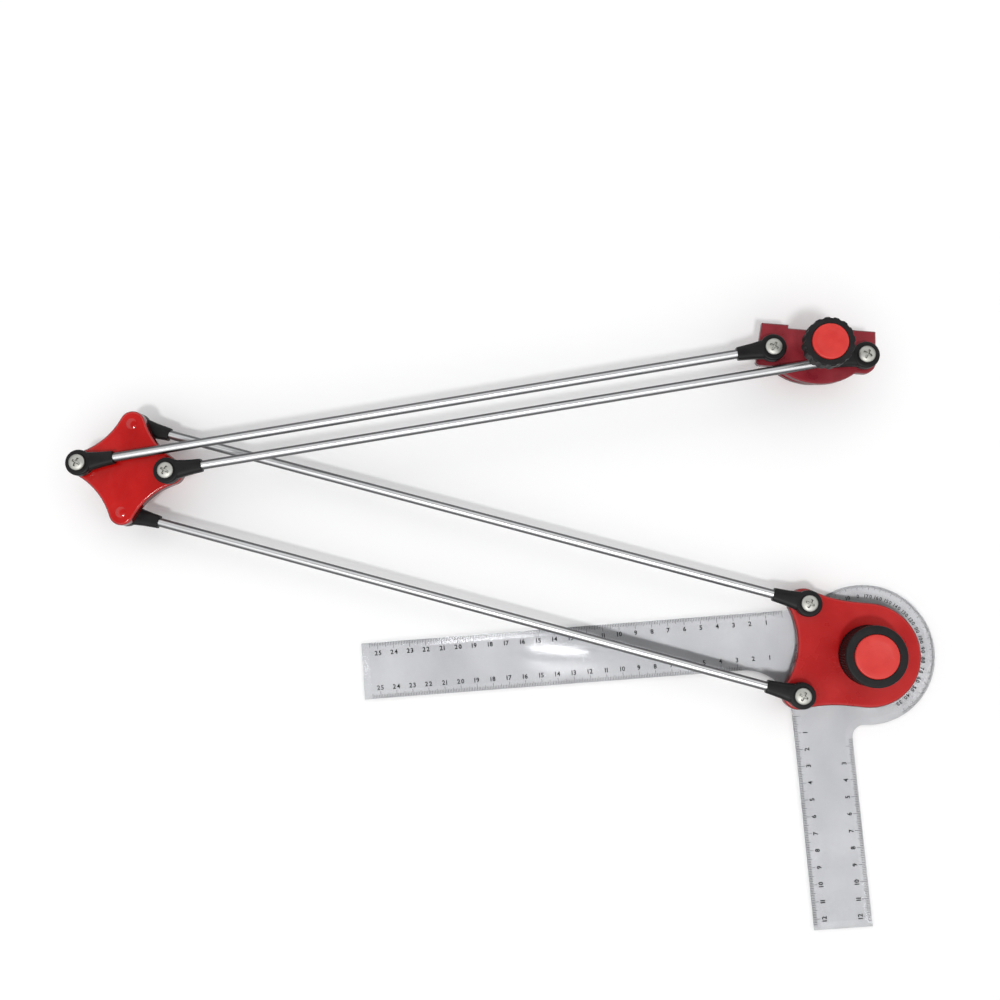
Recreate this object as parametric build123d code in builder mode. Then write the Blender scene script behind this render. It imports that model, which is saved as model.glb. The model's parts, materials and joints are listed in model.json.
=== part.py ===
from build123d import *
from math import cos, radians, sin
import os

# Mini drafter: a parallel link drafting arm. A clamp grips the top edge of a drawing board, two pairs of
# parallel rods carry the head over the board without letting it turn, and the L-shaped scale turns and
# locks on the head's spindle. Millimetres. The origin is the spindle axis at the scale's underside, +Z is
# up, and +X runs along the clamp's line of pivots. Every plate keeps its direction, so each is drawn in
# the model's own X and Y.

os.makedirs("parts", exist_ok=True)

# ---------------------------------------------------------------- driving dimensions

# linkage, as it lies in plan
link_length = 427.0  # pivot to pivot, all four links
pivot_spacing = 55.0  # between the two pivots of a parallel pair
spindle_setback = 39.0  # from the head's pivots to the spindle
lower_angle = -9.65  # degrees, elbow to head
upper_angle = 14.4  # degrees, elbow to clamp
blade_angle = 9.9  # degrees, the scale's turn on the head

# levels
blade_thickness = 2.5
head_floor = 3.0
head_height = 7.5
washer_thickness = 0.5
end_play = 0.05  # up and down play of a part that turns
fitting_height = 6.9
elbow_height = 6.0
clamp_plate_thickness = 5.0

# rods and their eye fittings
rod_radius = 2.8
eye_radius = 8.0
eye_edge = 0.8
fitting_reach = 21.5  # pivot to the mouth of the socket
socket_floor = 9.5  # pivot to the bottom of the socket
socket_play = 0.02
neck_stations = ((3.0, 12.8), (12.0, 9.8), (21.5, 8.0))  # distance from the pivot, width
neck_corner = 1.8

# shoulder screws, washers and thread inserts of the six pivots
shoulder_radius = 2.5
running_fit = 0.05
thread_radius = 1.45
thread_length = 5.0
screw_head_height = 2.4
screw_dome = ((5.0, 0.0), (5.0, 1.0), (3.4, 2.4))  # radius and height over the shoulder
head_play = 0.2
washer_radius = 6.5
insert_radius = 2.6
insert_length = 5.5
insert_bore = 1.5
press_play = 0.02

# elbow plate
elbow_lobe = 8.0
elbow_waist = 4.3  # from the line between two pivots to the hollow side
elbow_skin = 2.5
elbow_wall = 2.0
elbow_edge = 1.0
elbow_boss = 6.0
bump_radius = 3.6
bump_height = 0.6
bump_taper = 60.0

# head plate
head_round = 31.3
lobe_radius = 9.5
lobe_centre = Vector(-40.0, 27.0)
lobe_leave_angle = 70.0  # where the lobe runs into the hollow shoulder
lobe_meet_angle = 200.0  # where the lobe meets the hollow back edge
back_edge = -42.0
head_skin = 2.5
head_wall = 2.2
head_edge = 1.1
head_boss = 6.0
spindle_boss = 10.0
rib_thickness = 1.8

# spindle
spindle_head_radius = 7.5
spindle_head_height = 1.2
journal_radius = 5.0
neck_width = 7.0
neck_length = 3.0
neck_play = 0.05
spindle_thread_radius = 3.0
spindle_lead = 0.5
spindle_top = 23.0

# head knob
knob_washer_radius = 9.0
head_knob_radius = 18.3
head_knob_top = 27.4
head_knob_wall = 2.2
head_knob_hub = 8.0
head_knob_hollow = 7.0
head_cap_radius = 13.1
head_cap_seat = 25.6
head_cap_top = 28.2
nut_flats = 10.0
nut_height = 5.0
knob_edge = 1.0
cap_edge = 0.9
cap_play = 0.1

# L-shaped scale with its protractor disc
long_reach = 307.0
short_reach = 160.0
arm_width = 34.5
long_arm_low = -4.0
short_arm_left = -47.0
disc_radius = 42.3
inner_fillet = 27.0
outer_fillet = 7.0
bevel_width = 4.6
bevel_depth = 1.2
hub_radius = 9.5
hub_flange = 11.5
hub_flange_depth = 0.8
friction_radius = 20.0

# clamp
clamp_half_width = 36.0
clamp_back = 16.3
clamp_front = -9.7
clamp_nose = -18.3
nose_half_width = 24.0
spine_half_width = 18.0
spine_back = 14.2
spine_thickness = 4.0
jaw_thickness = 3.5
jaw_nose = -14.5
clamp_edge = 0.8
spine_fillet = 2.0
plate_corner = 2.0
ear_corner = 7.0  # the front corner at pivot B

# clamp screw, pad and knob
clamp_screw_radius = 3.0
pad_radius = 8.0
pad_low = 14.0
pad_thickness = 2.5
pad_pin_radius = 1.9
pad_edge = 0.4
pad_pin_length = 1.7
clamp_knob_radius = 14.5
clamp_knob_low = 44.0
clamp_knob_step = 2.0
clamp_knob_hub = 7.0
clamp_knob_top = 56.0
clamp_cap_radius = 10.5
clamp_cap_seat = 53.6
clamp_cap_top = 57.0
scallops = 16
scallop_radius = 2.6
scallop_reach = 16.1  # knob's axis to a scallop's centre
clamp_knob_edge = 0.6
hex_flats = 10.0
hex_height = 4.0

# ---------------------------------------------------------------- places worked out from them

half_spacing = pivot_spacing / 2
lower_link = Vector(link_length, 0).rotate(Axis.Z, lower_angle)
upper_link = Vector(link_length, 0).rotate(Axis.Z, upper_angle)
head_centre = Vector(-spindle_setback, 0)
elbow_centre = head_centre - lower_link
clamp_centre = elbow_centre + upper_link

along = Vector(half_spacing, 0)
across = Vector(0, half_spacing)
elbow_a = elbow_centre - along
elbow_b = elbow_centre + along
elbow_c = elbow_centre + across
elbow_d = elbow_centre - across
clamp_a = clamp_centre - along
clamp_b = clamp_centre + along
head_c = head_centre + across
head_d = head_centre - across

head_top = head_floor + head_height
lower_level = head_top + washer_thickness + end_play + fitting_height / 2
elbow_floor = lower_level + fitting_height / 2 + end_play + washer_thickness
elbow_top = elbow_floor + elbow_height
upper_level = elbow_top + washer_thickness + end_play + fitting_height / 2
clamp_floor = elbow_top - clamp_plate_thickness
shoulder_length = washer_thickness + end_play + fitting_height + head_play
pad_top = pad_low + pad_thickness


def seat_at(point, level, turned_over=False):
    """Plane on a plate's face: +Z leaves the plate, so it points down under the elbow."""
    return Plane((point.X, point.Y, level), x_dir=(1, 0, 0), z_dir=(0, 0, -1 if turned_over else 1))


def side_of(seat):
    """Plane through a seat's axis: x is the radius, y the height above the seat."""
    return Plane(seat.origin, x_dir=seat.x_dir, z_dir=-seat.y_dir)


# ---------------------------------------------------------------- repeated small pieces


def shoulder_screw(seat):
    """Thread below the seat, then the shoulder that the eye turns on, and a low domed head."""
    with BuildPart() as screw:
        with BuildSketch(side_of(seat)):
            with BuildLine():
                Polyline(
                    (0, shoulder_length + screw_head_height),
                    (0, -thread_length),
                    (thread_radius, -thread_length),
                    (thread_radius, 0),
                    (shoulder_radius, 0),
                    (shoulder_radius, shoulder_length),
                    *((radius, shoulder_length + height) for radius, height in screw_dome),
                    close=True,
                )
            make_face()
        revolve(axis=Axis(seat.origin, seat.z_dir))
    return screw.part


def ring(seat, outer, inner, thickness):
    """Flat washer or bush lying on the seat."""
    with BuildPart() as washer:
        with BuildSketch(seat):
            Circle(outer)
            Circle(inner, mode=Mode.SUBTRACT)
        extrude(amount=thickness)
    return washer.part


def end_fitting(pivot, level, toward):
    """Eye that turns on a shoulder screw, with a tapered neck that holds the rod's end."""
    middle = Plane((pivot.X, pivot.Y, level), x_dir=toward, z_dir=(0, 0, 1))
    with BuildPart() as fitting:
        with BuildSketch(middle.offset(-fitting_height / 2)):
            Circle(eye_radius)
        extrude(amount=fitting_height)
        chamfer(fitting.edges().filter_by(GeomType.CIRCLE), eye_edge)
        for reach, width in neck_stations:
            foot = middle.from_local_coords((reach, 0, 0))
            with BuildSketch(Plane(foot, x_dir=middle.y_dir, z_dir=toward)) as section:
                Rectangle(width, fitting_height)
                chamfer(section.vertices(), neck_corner)
        loft(ruled=True)
        with BuildSketch(middle):
            Circle(shoulder_radius + running_fit)
        extrude(amount=fitting_height, both=True, mode=Mode.SUBTRACT)
        socket = Plane(middle.from_local_coords((socket_floor, 0, 0)), x_dir=middle.y_dir, z_dir=toward)
        with BuildSketch(socket):
            Circle(rod_radius + socket_play)
        extrude(amount=fitting_reach, mode=Mode.SUBTRACT)
    return fitting.part


def link_rod(start, level, toward):
    """Plain chromed rod that fills both sockets of a link."""
    foot = start + toward * socket_floor
    with BuildPart() as rod:
        with BuildSketch(Plane((foot.X, foot.Y, level), x_dir=(0, 0, 1), z_dir=toward)):
            Circle(rod_radius)
        extrude(amount=link_length - 2 * socket_floor)
    return rod.part


# ---------------------------------------------------------------- clamp

spine_front = spine_back - spine_thickness

with BuildPart() as clamp_bracket:
    # top plate: ears at both ends, a shallow recess over the spine, a rounded nose at the front
    with BuildSketch(seat_at(clamp_centre, clamp_floor)) as clamp_outline:
        with BuildLine():
            Polyline(
                (nose_half_width, clamp_front),
                (clamp_half_width, clamp_front),
                (clamp_half_width - plate_corner, clamp_back),
                (spine_half_width, clamp_back),
                (spine_half_width, spine_back),
                (-spine_half_width, spine_back),
                (-spine_half_width, clamp_back),
                (plate_corner - clamp_half_width, clamp_back),
                (-clamp_half_width, clamp_front),
                (-nose_half_width, clamp_front),
            )
            ThreePointArc((-nose_half_width, clamp_front), (0, clamp_nose), (nose_half_width, clamp_front))
        make_face()
        fillet(clamp_outline.vertices().group_by(Axis.X)[0], plate_corner)
        fillet(clamp_outline.vertices().group_by(Axis.X)[-1], ear_corner)
    extrude(amount=clamp_plate_thickness)
    # lower jaw, under the board
    with BuildSketch(seat_at(clamp_centre, 0)) as jaw_outline:
        with BuildLine():
            Polyline(
                (spine_half_width, clamp_front),
                (spine_half_width, spine_back),
                (-spine_half_width, spine_back),
                (-spine_half_width, clamp_front),
            )
            ThreePointArc(
                (-spine_half_width, clamp_front),
                (0, jaw_nose),
                (spine_half_width, clamp_front),
            )
        make_face()
    extrude(amount=jaw_thickness)
    # spine that joins them
    with BuildSketch(seat_at(clamp_centre, 0)):
        with Locations((0, (spine_back + spine_front) / 2)):
            Rectangle(2 * spine_half_width, spine_thickness)
    extrude(amount=clamp_floor + clamp_plate_thickness)
    mouth_edges = clamp_bracket.edges().filter_by(Axis.X).filter_by_position(
        Axis.Y, clamp_centre.Y + spine_front - 0.1, clamp_centre.Y + spine_front + 0.1
    )
    fillet(mouth_edges, spine_fillet)
    chamfer(clamp_bracket.faces().sort_by(Axis.Z)[-1].edges(), clamp_edge)
    # tapped holes for the clamp screw and the two pivot screws
    with Locations(seat_at(clamp_centre, elbow_top)):
        Hole(clamp_screw_radius + running_fit, depth=clamp_plate_thickness)
    with Locations(seat_at(clamp_a, elbow_top), seat_at(clamp_b, elbow_top)):
        Hole(insert_bore, depth=clamp_plate_thickness)
clamp_bracket.part.label = "clamp_bracket"
export_step(clamp_bracket.part, "parts/clamp_bracket.step")

with BuildPart() as clamp_pivot_screws:
    for pivot in (clamp_a, clamp_b):
        add(shoulder_screw(seat_at(pivot, elbow_top)))
clamp_pivot_screws.part.label = "clamp_pivot_screws"
export_step(clamp_pivot_screws.part, "parts/clamp_pivot_screws.step")

with BuildPart() as clamp_pivot_washers:
    for pivot in (clamp_a, clamp_b):
        add(ring(seat_at(pivot, elbow_top), washer_radius, shoulder_radius + running_fit, washer_thickness))
clamp_pivot_washers.part.label = "clamp_pivot_washers"
export_step(clamp_pivot_washers.part, "parts/clamp_pivot_washers.step")

with BuildPart() as pressure_pad:
    with BuildSketch(seat_at(clamp_centre, pad_low)):
        Circle(pad_radius)
    extrude(amount=pad_thickness)
    chamfer(pressure_pad.edges().filter_by(GeomType.CIRCLE), pad_edge)
    with Locations(seat_at(clamp_centre, pad_top)):
        Hole(pad_pin_radius + running_fit, depth=pad_pin_length)
pressure_pad.part.label = "pressure_pad"
export_step(pressure_pad.part, "parts/pressure_pad.step")

# hex head bolt turned upside down: its head is buried in the knob, its pin swivels in the pad
hex_floor = clamp_cap_seat - hex_height
with BuildPart() as clamp_screw:
    with BuildSketch(seat_at(clamp_centre, pad_top + end_play - pad_pin_length)):
        Circle(pad_pin_radius)
    extrude(amount=pad_pin_length)
    with BuildSketch(seat_at(clamp_centre, pad_top + end_play)):
        Circle(clamp_screw_radius)
    extrude(amount=hex_floor - pad_top - end_play)
    with BuildSketch(seat_at(clamp_centre, hex_floor)):
        RegularPolygon(hex_flats / 2, 6, major_radius=False)
    extrude(amount=hex_height)
clamp_screw.part.label = "clamp_screw"
export_step(clamp_screw.part, "parts/clamp_screw.step")

with BuildPart() as clamp_knob:
    with BuildSketch(seat_at(clamp_centre, clamp_knob_low)):
        Circle(clamp_knob_hub)
    extrude(amount=clamp_knob_step)
    with BuildSketch(seat_at(clamp_centre, clamp_knob_low + clamp_knob_step)):
        Circle(clamp_knob_radius)
        with PolarLocations(scallop_reach, scallops):
            Circle(scallop_radius, mode=Mode.SUBTRACT)
    extrude(amount=clamp_knob_top - clamp_knob_low - clamp_knob_step)
    chamfer(clamp_knob.faces().sort_by(Axis.Z)[-1].edges(), clamp_knob_edge)
    # seat of the cap, hex pocket for the bolt's head and the hole for its shank
    with BuildSketch(seat_at(clamp_centre, clamp_cap_seat)):
        Circle(clamp_cap_radius + cap_play)
    extrude(amount=clamp_knob_top - clamp_cap_seat, mode=Mode.SUBTRACT)
    with BuildSketch(seat_at(clamp_centre, hex_floor)):
        RegularPolygon(hex_flats / 2 + press_play, 6, major_radius=False)
    extrude(amount=hex_height, mode=Mode.SUBTRACT)
    with BuildSketch(seat_at(clamp_centre, clamp_knob_low)):
        Circle(clamp_screw_radius + press_play)
    extrude(amount=hex_floor - clamp_knob_low, mode=Mode.SUBTRACT)
clamp_knob.part.label = "clamp_knob"
export_step(clamp_knob.part, "parts/clamp_knob.step")

with BuildPart() as clamp_knob_cap:
    with BuildSketch(seat_at(clamp_centre, clamp_cap_seat)):
        Circle(clamp_cap_radius)
    extrude(amount=clamp_cap_top - clamp_cap_seat)
    chamfer(clamp_knob_cap.edges().group_by(Axis.Z)[-1], cap_edge)
clamp_knob_cap.part.label = "clamp_knob_cap"
export_step(clamp_knob_cap.part, "parts/clamp_knob_cap.step")

# ---------------------------------------------------------------- the four links

upper_way = upper_link.normalized()
lower_way = lower_link.normalized()
links = {
    "a": ("upper", elbow_a, clamp_a, upper_level, upper_way, "clamp"),
    "b": ("upper", elbow_b, clamp_b, upper_level, upper_way, "clamp"),
    "c": ("lower", elbow_c, head_c, lower_level, lower_way, "head"),
    "d": ("lower", elbow_d, head_d, lower_level, lower_way, "head"),
}
for letter, (pair, near, far, level, way, far_end) in links.items():
    rod = link_rod(near, level, way)
    rod.label = f"{pair}_rod_{letter}"
    export_step(rod, f"parts/{pair}_rod_{letter}.step")
    elbow_fitting = end_fitting(near, level, way)
    elbow_fitting.label = f"fitting_{letter}_elbow"
    export_step(elbow_fitting, f"parts/fitting_{letter}_elbow.step")
    far_fitting = end_fitting(far, level, -way)
    far_fitting.label = f"fitting_{letter}_{far_end}"
    export_step(far_fitting, f"parts/fitting_{letter}_{far_end}.step")

# ---------------------------------------------------------------- elbow

# Each hollow side is an arc that touches both neighbouring lobes. With half the distance between two
# pivots as the base of a right triangle, its radius follows from the lobe and the waist.
half_side = half_spacing * 2**0.5 / 2
hollow_radius = (half_side**2 + elbow_waist**2 - elbow_lobe**2) / (2 * (elbow_lobe - elbow_waist))
hollow_distance = half_side + hollow_radius + elbow_waist  # from the plate's middle, along the diagonal
hollow_centre = Vector(hollow_distance, 0).rotate(Axis.Z, 45)
lobe_point = Vector(half_spacing, 0)
touch_point = lobe_point + (hollow_centre - lobe_point).normalized() * elbow_lobe
waist_point = Vector(half_side + elbow_waist, 0).rotate(Axis.Z, 45)


def elbow_face(inset=0.0):
    """Four-lobed outline of the elbow, drawn a quarter at a time and set in from its edge."""
    with BuildSketch() as face:
        with BuildLine():
            for quarter in range(4):
                low_touch = Vector(touch_point.X, -touch_point.Y).rotate(Axis.Z, 90 * quarter)
                tip = Vector(half_spacing + elbow_lobe, 0).rotate(Axis.Z, 90 * quarter)
                high_touch = touch_point.rotate(Axis.Z, 90 * quarter)
                waist = waist_point.rotate(Axis.Z, 90 * quarter)
                next_touch = Vector(touch_point.Y, touch_point.X).rotate(Axis.Z, 90 * quarter)
                ThreePointArc(low_touch, tip, high_touch)
                ThreePointArc(high_touch, waist, next_touch)
        make_face()
        if inset:
            offset(amount=-inset, mode=Mode.REPLACE)
    return face.sketch


with BuildPart() as elbow_plate:
    with BuildSketch(seat_at(elbow_centre, elbow_floor)):
        add(elbow_face())
    extrude(amount=elbow_height - elbow_edge)
    with BuildSketch(seat_at(elbow_centre, elbow_top - elbow_edge)):
        add(elbow_face())
    with BuildSketch(seat_at(elbow_centre, elbow_top)):
        add(elbow_face(elbow_edge))
    loft(ruled=True)
    # hollow underside, with a boss at each pivot and a cross of ribs between them
    with BuildSketch(seat_at(elbow_centre, elbow_floor)):
        add(elbow_face(elbow_wall))
        with PolarLocations(half_spacing, 4):
            Circle(elbow_boss, mode=Mode.SUBTRACT)
        Rectangle(pivot_spacing, rib_thickness, mode=Mode.SUBTRACT)
        Rectangle(rib_thickness, pivot_spacing, mode=Mode.SUBTRACT)
    extrude(amount=elbow_height - elbow_skin, mode=Mode.SUBTRACT)
    # blind holes for the inserts: from above at A and B, from below at C and D
    with Locations(seat_at(elbow_a, elbow_top), seat_at(elbow_b, elbow_top)):
        Hole(insert_radius + press_play, depth=insert_length)
    with Locations(seat_at(elbow_c, elbow_floor, True), seat_at(elbow_d, elbow_floor, True)):
        Hole(insert_radius + press_play, depth=insert_length)
    # low bumps that mark the two pivots below
    with BuildSketch(seat_at(elbow_centre, elbow_top)):
        with Locations(across, -across):
            Circle(bump_radius)
    extrude(amount=bump_height, taper=bump_taper)
elbow_plate.part.label = "elbow_plate"
export_step(elbow_plate.part, "parts/elbow_plate.step")

with BuildPart() as elbow_inserts:
    for pivot in (elbow_a, elbow_b):
        add(ring(seat_at(pivot, elbow_top - insert_length), insert_radius, insert_bore, insert_length))
    for pivot in (elbow_c, elbow_d):
        add(ring(seat_at(pivot, elbow_floor), insert_radius, insert_bore, insert_length))
elbow_inserts.part.label = "elbow_inserts"
export_step(elbow_inserts.part, "parts/elbow_inserts.step")

for side, pivots, level, turned_over in (
    ("top", (elbow_a, elbow_b), elbow_top, False),
    ("under", (elbow_c, elbow_d), elbow_floor, True),
):
    with BuildPart() as elbow_screws:
        for pivot in pivots:
            add(shoulder_screw(seat_at(pivot, level, turned_over)))
    elbow_screws.part.label = f"elbow_{side}_screws"
    export_step(elbow_screws.part, f"parts/elbow_{side}_screws.step")
    with BuildPart() as elbow_washers:
        for pivot in pivots:
            seat = seat_at(pivot, level, turned_over)
            add(ring(seat, washer_radius, shoulder_radius + running_fit, washer_thickness))
    elbow_washers.part.label = f"elbow_{side}_washers"
    export_step(elbow_washers.part, f"parts/elbow_{side}_washers.step")

# ---------------------------------------------------------------- head

# The lobe's edge leaves it going down towards the round part. The hollow shoulder is the arc that turns
# that slope level just where it reaches the round part's half width.
leave = radians(lobe_leave_angle)
meet = radians(lobe_meet_angle)
lobe_leave = lobe_centre + Vector(cos(leave), sin(leave)) * lobe_radius
lobe_meet = lobe_centre + Vector(cos(meet), sin(meet)) * lobe_radius
shoulder_turn = radians(90 - lobe_leave_angle)
shoulder_radius_plan = (lobe_leave.Y - head_round) / (1 - cos(shoulder_turn))
shoulder_end = Vector(lobe_leave.X + shoulder_radius_plan * sin(shoulder_turn), head_round)


def head_face(inset=0.0):
    """Outline of the head plate: upper half drawn from the hollow back edge to the round front."""
    lobe_top = lobe_centre + Vector(0, lobe_radius).rotate(Axis.Z, 45)
    with BuildSketch() as face:
        with BuildLine():
            ThreePointArc((lobe_meet.X, -lobe_meet.Y), (back_edge, 0), lobe_meet)
            ThreePointArc(lobe_meet, lobe_top, lobe_leave)
            TangentArc(shoulder_end, lobe_leave, tangent=(-1, 0))
            Line(shoulder_end, (0, head_round))
            ThreePointArc((0, head_round), (head_round, 0), (0, -head_round))
            Line((0, -head_round), (shoulder_end.X, -shoulder_end.Y))
            TangentArc((shoulder_end.X, -shoulder_end.Y), (lobe_leave.X, -lobe_leave.Y), tangent=(-1, 0))
            ThreePointArc(
                (lobe_leave.X, -lobe_leave.Y),
                (lobe_top.X, -lobe_top.Y),
                (lobe_meet.X, -lobe_meet.Y),
            )
        make_face()
        if inset:
            offset(amount=-inset, mode=Mode.REPLACE)
    return face.sketch


with BuildPart() as head_plate:
    with BuildSketch(Plane.XY.offset(head_floor)):
        add(head_face())
    extrude(amount=head_height - head_edge)
    with BuildSketch(Plane.XY.offset(head_top - head_edge)):
        add(head_face())
    with BuildSketch(Plane.XY.offset(head_top)):
        add(head_face(head_edge))
    loft(ruled=True)
    # hollow underside, with bosses for the pivots and the spindle and ribs that tie them together
    with BuildSketch(Plane.XY.offset(head_floor)):
        add(head_face(head_wall))
        Circle(spindle_boss, mode=Mode.SUBTRACT)
        with Locations(head_c, head_d):
            Circle(head_boss, mode=Mode.SUBTRACT)
        with Locations(head_centre):
            Rectangle(rib_thickness, pivot_spacing, mode=Mode.SUBTRACT)
        Rectangle(2 * head_round, rib_thickness, mode=Mode.SUBTRACT)
        Rectangle(rib_thickness, 2 * head_round, mode=Mode.SUBTRACT)
    extrude(amount=head_height - head_skin, mode=Mode.SUBTRACT)
    # square seat for the spindle's neck, then its clearance hole
    with BuildSketch(Plane.XY.offset(head_floor)):
        Rectangle(neck_width + 2 * neck_play, neck_width + 2 * neck_play)
    extrude(amount=neck_length + neck_play, mode=Mode.SUBTRACT)
    with Locations(Plane.XY.offset(head_top)):
        Hole(spindle_thread_radius + running_fit, depth=head_height)
    with Locations(seat_at(head_c, head_top), seat_at(head_d, head_top)):
        Hole(insert_radius + press_play, depth=insert_length)
head_plate.part.label = "head_plate"
export_step(head_plate.part, "parts/head_plate.step")

with BuildPart() as head_inserts:
    for pivot in (head_c, head_d):
        add(ring(seat_at(pivot, head_top - insert_length), insert_radius, insert_bore, insert_length))
head_inserts.part.label = "head_inserts"
export_step(head_inserts.part, "parts/head_inserts.step")

with BuildPart() as head_pivot_screws:
    for pivot in (head_c, head_d):
        add(shoulder_screw(seat_at(pivot, head_top)))
head_pivot_screws.part.label = "head_pivot_screws"
export_step(head_pivot_screws.part, "parts/head_pivot_screws.step")

with BuildPart() as head_pivot_washers:
    for pivot in (head_c, head_d):
        add(ring(seat_at(pivot, head_top), washer_radius, shoulder_radius + running_fit, washer_thickness))
head_pivot_washers.part.label = "head_pivot_washers"
export_step(head_pivot_washers.part, "parts/head_pivot_washers.step")

# bolt from below: flush head, journal for the scale's hub, square neck in the plate, thread for the knob
with BuildPart() as spindle_bolt:
    with BuildSketch(Plane.XY):
        Circle(spindle_head_radius)
    extrude(amount=spindle_head_height)
    with BuildSketch(Plane.XY.offset(spindle_head_height)):
        Circle(journal_radius)
    extrude(amount=head_floor - spindle_head_height)
    with BuildSketch(Plane.XY.offset(head_floor)):
        Rectangle(neck_width, neck_width)
    extrude(amount=neck_length)
    with BuildSketch(Plane.XY.offset(head_floor + neck_length)):
        Circle(spindle_thread_radius)
    extrude(amount=spindle_top - head_floor - neck_length)
    chamfer(spindle_bolt.edges().group_by(Axis.Z)[-1], spindle_lead)
spindle_bolt.part.label = "spindle_bolt"
export_step(spindle_bolt.part, "parts/spindle_bolt.step")

washer_seat = Plane.XY.offset(head_top)
knob_washer = ring(washer_seat, knob_washer_radius, spindle_thread_radius + running_fit, washer_thickness)
knob_washer.label = "knob_washer"
export_step(knob_washer, "parts/knob_washer.step")

# ---------------------------------------------------------------- head knob

head_knob_low = head_top + washer_thickness + end_play
nut_floor = head_cap_seat - nut_height

with BuildPart() as head_knob:
    with BuildSketch(Plane.XY.offset(head_knob_low)):
        Circle(head_knob_radius)
    extrude(amount=head_knob_top - head_knob_low)
    chamfer(head_knob.edges().group_by(Axis.Z)[-1], knob_edge)
    # moulded hollow between the outer wall and the hub, open below
    with BuildSketch(Plane.XY.offset(head_knob_low)):
        Circle(head_knob_radius - head_knob_wall)
        Circle(head_knob_hub, mode=Mode.SUBTRACT)
    extrude(amount=head_knob_hollow, mode=Mode.SUBTRACT)
    # seat of the cap, hex pocket for the nut and the spindle's clearance hole
    with BuildSketch(Plane.XY.offset(head_cap_seat)):
        Circle(head_cap_radius + cap_play)
    extrude(amount=head_knob_top - head_cap_seat, mode=Mode.SUBTRACT)
    with BuildSketch(Plane.XY.offset(nut_floor)):
        RegularPolygon(nut_flats / 2 + press_play, 6, major_radius=False)
    extrude(amount=nut_height, mode=Mode.SUBTRACT)
    with BuildSketch(Plane.XY.offset(head_knob_low)):
        Circle(spindle_thread_radius + running_fit)
    extrude(amount=nut_floor - head_knob_low, mode=Mode.SUBTRACT)
head_knob.part.label = "head_knob"
export_step(head_knob.part, "parts/head_knob.step")

with BuildPart() as head_knob_nut:
    with BuildSketch(Plane.XY.offset(nut_floor)):
        RegularPolygon(nut_flats / 2, 6, major_radius=False)
        Circle(spindle_thread_radius + running_fit, mode=Mode.SUBTRACT)
    extrude(amount=nut_height)
head_knob_nut.part.label = "head_knob_nut"
export_step(head_knob_nut.part, "parts/head_knob_nut.step")

with BuildPart() as head_knob_cap:
    with BuildSketch(Plane.XY.offset(head_cap_seat)):
        Circle(head_cap_radius)
    extrude(amount=head_cap_top - head_cap_seat)
    chamfer(head_knob_cap.edges().group_by(Axis.Z)[-1], cap_edge)
head_knob_cap.part.label = "head_knob_cap"
export_step(head_knob_cap.part, "parts/head_knob_cap.step")

# ---------------------------------------------------------------- L-shaped scale

blade_plane = Plane.XY.rotated((0, 0, blade_angle))
long_arm_high = long_arm_low + arm_width
short_arm_right = short_arm_left + arm_width

with BuildPart() as blade:
    with BuildSketch(blade_plane) as blade_outline:
        Circle(disc_radius)
        with Locations((-long_reach / 2, (long_arm_low + long_arm_high) / 2)):
            Rectangle(long_reach, arm_width)
        with Locations(((short_arm_left + short_arm_right) / 2, -short_reach / 2)):
            Rectangle(arm_width, short_reach)
        corners = blade_outline.vertices()
        fillet(corners.sort_by_distance((short_arm_left, long_arm_low))[0], inner_fillet)
        corners = blade_outline.vertices()
        shoulder = (short_arm_right, -((disc_radius**2 - short_arm_right**2) ** 0.5))
        fillet(corners.sort_by_distance(shoulder)[0], outer_fillet)
        corners = blade_outline.vertices()
        crown = (-((disc_radius**2 - long_arm_high**2) ** 0.5), long_arm_high)
        fillet(corners.sort_by_distance(crown)[0], outer_fillet)
    extrude(amount=blade_thickness)
    # bevelled ruling edges all the way round
    ruling_face = blade.faces().sort_by(Axis.Z)[-1]
    chamfer(ruling_face.edges(), length=bevel_width, length2=bevel_depth, reference=ruling_face)
    # stepped hole for the hub
    with BuildSketch(Plane.XY):
        Circle(hub_radius + press_play)
    extrude(amount=blade_thickness, mode=Mode.SUBTRACT)
    with BuildSketch(Plane.XY.offset(blade_thickness - hub_flange_depth)):
        Circle(hub_flange + press_play)
    extrude(amount=hub_flange_depth, mode=Mode.SUBTRACT)
blade.part.label = "blade"
export_step(blade.part, "parts/blade.step")

with BuildPart() as blade_hub:
    with BuildSketch(Plane.XY):
        Circle(hub_radius)
    extrude(amount=blade_thickness)
    with BuildSketch(Plane.XY.offset(blade_thickness - hub_flange_depth)):
        Circle(hub_flange)
    extrude(amount=hub_flange_depth)
    # the flush head of the spindle turns in the lower step, its journal in the bore
    with BuildSketch(Plane.XY):
        Circle(spindle_head_radius + running_fit)
    extrude(amount=spindle_head_height + end_play, mode=Mode.SUBTRACT)
    with BuildSketch(Plane.XY):
        Circle(journal_radius + running_fit)
    extrude(amount=blade_thickness, mode=Mode.SUBTRACT)
blade_hub.part.label = "blade_hub"
export_step(blade_hub.part, "parts/blade_hub.step")

friction_seat = Plane.XY.offset(blade_thickness)
friction_thickness = head_floor - blade_thickness - end_play
friction_washer = ring(friction_seat, friction_radius, journal_radius + running_fit, friction_thickness)
friction_washer.label = "friction_washer"
export_step(friction_washer, "parts/friction_washer.step")
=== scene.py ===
# %% [markdown]
# # A mini drafter
#
# A mini drafter is a small drafting arm. A clamp holds the top edge of a drawing board, two pairs of
# parallel rods carry a head over the paper, and a clear L-shaped scale turns on that head. The solids
# already give every size and every joint. This lesson dresses them: it replaces the pieces whose edges,
# domes and ridges catch the light, prints the scale, and gives each piece its finish.

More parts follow.
